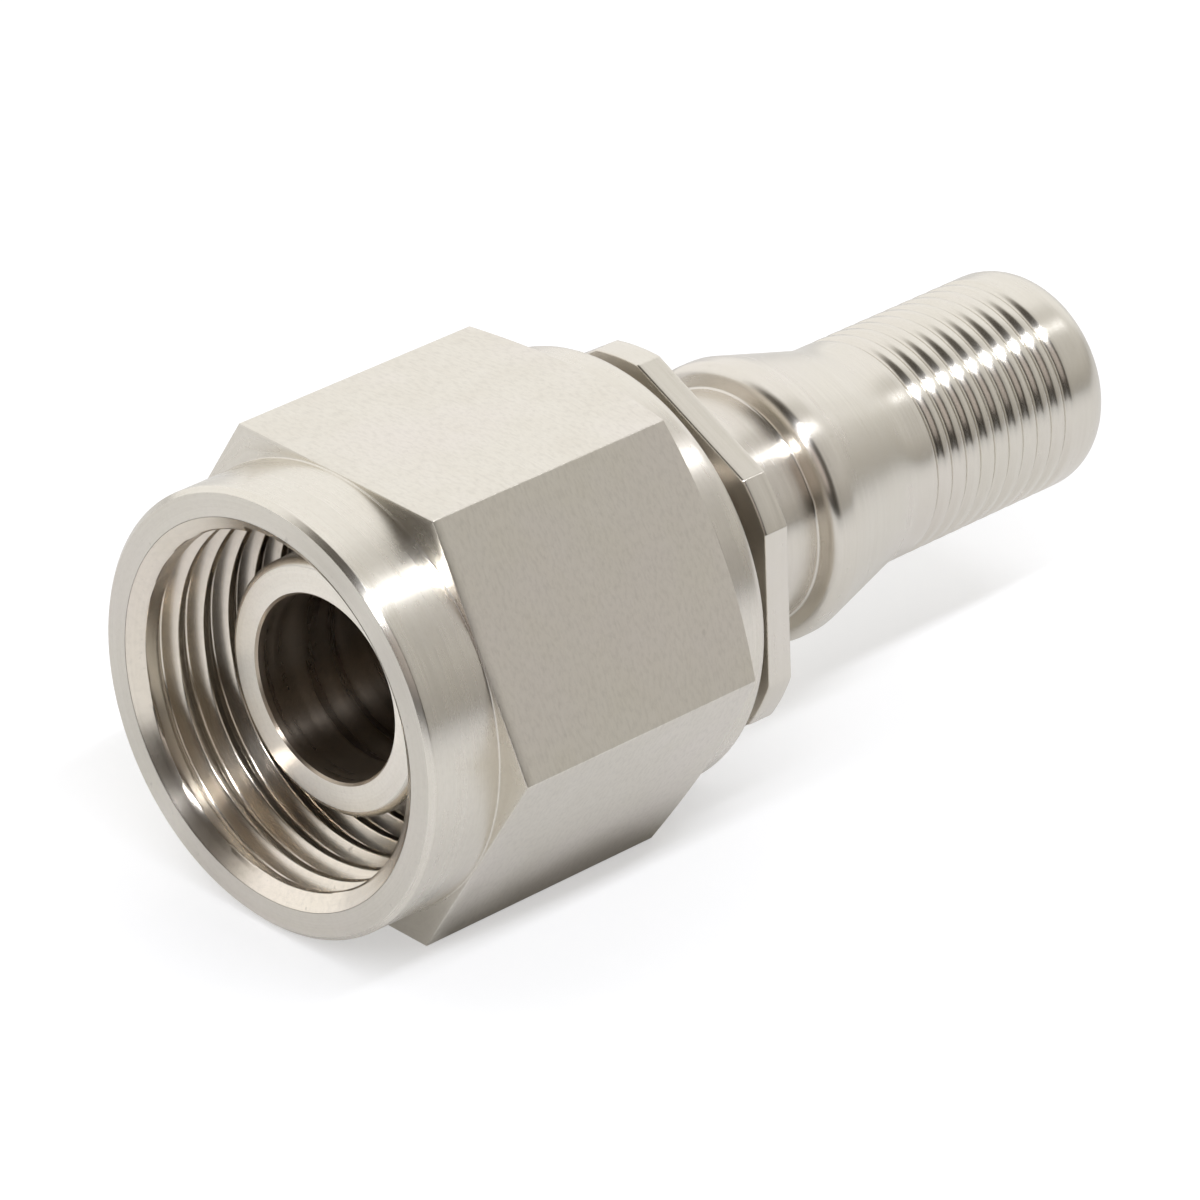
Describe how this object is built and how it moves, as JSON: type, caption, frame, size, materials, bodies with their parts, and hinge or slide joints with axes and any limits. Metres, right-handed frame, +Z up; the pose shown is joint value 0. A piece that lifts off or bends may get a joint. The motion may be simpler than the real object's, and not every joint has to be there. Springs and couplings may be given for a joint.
{
  "type": "hose nipple",
  "caption": "Swivel hose nipple: captive hexagon union nut with female thread on a flat-faced turned nipple with a thin hexagon, ferrule neck, bulged collar and grooved hose tail.",
  "frame": {"origin": "centre of the nipple's flat sealing face, on the axis of the flow bore", "axes": "+X along the common axis towards the hose tail, +Z up, square to the flat the nut lies on"},
  "size_m": [0.0516, 0.0256, 0.0222],
  "materials": {
    "nut_steel": "milled flats with turned collar and boss, bare stainless steel",
    "nipple_steel": "bright turned, bare stainless steel",
    "wire_steel": "drawn spring wire, bare"
  },
  "bodies": {
    "nut": {"union_nut": "nut_steel", "retaining_ring": "wire_steel"},
    "nipple": {"nipple": "nipple_steel"}
  },
  "joints": [
    {"name": "nipple_swivel", "type": "hinge", "parent": "nut", "child": "nipple", "pos_m": [0.012, 0, 0], "axis": [1, 0, 0], "continuous": true}
  ]
}
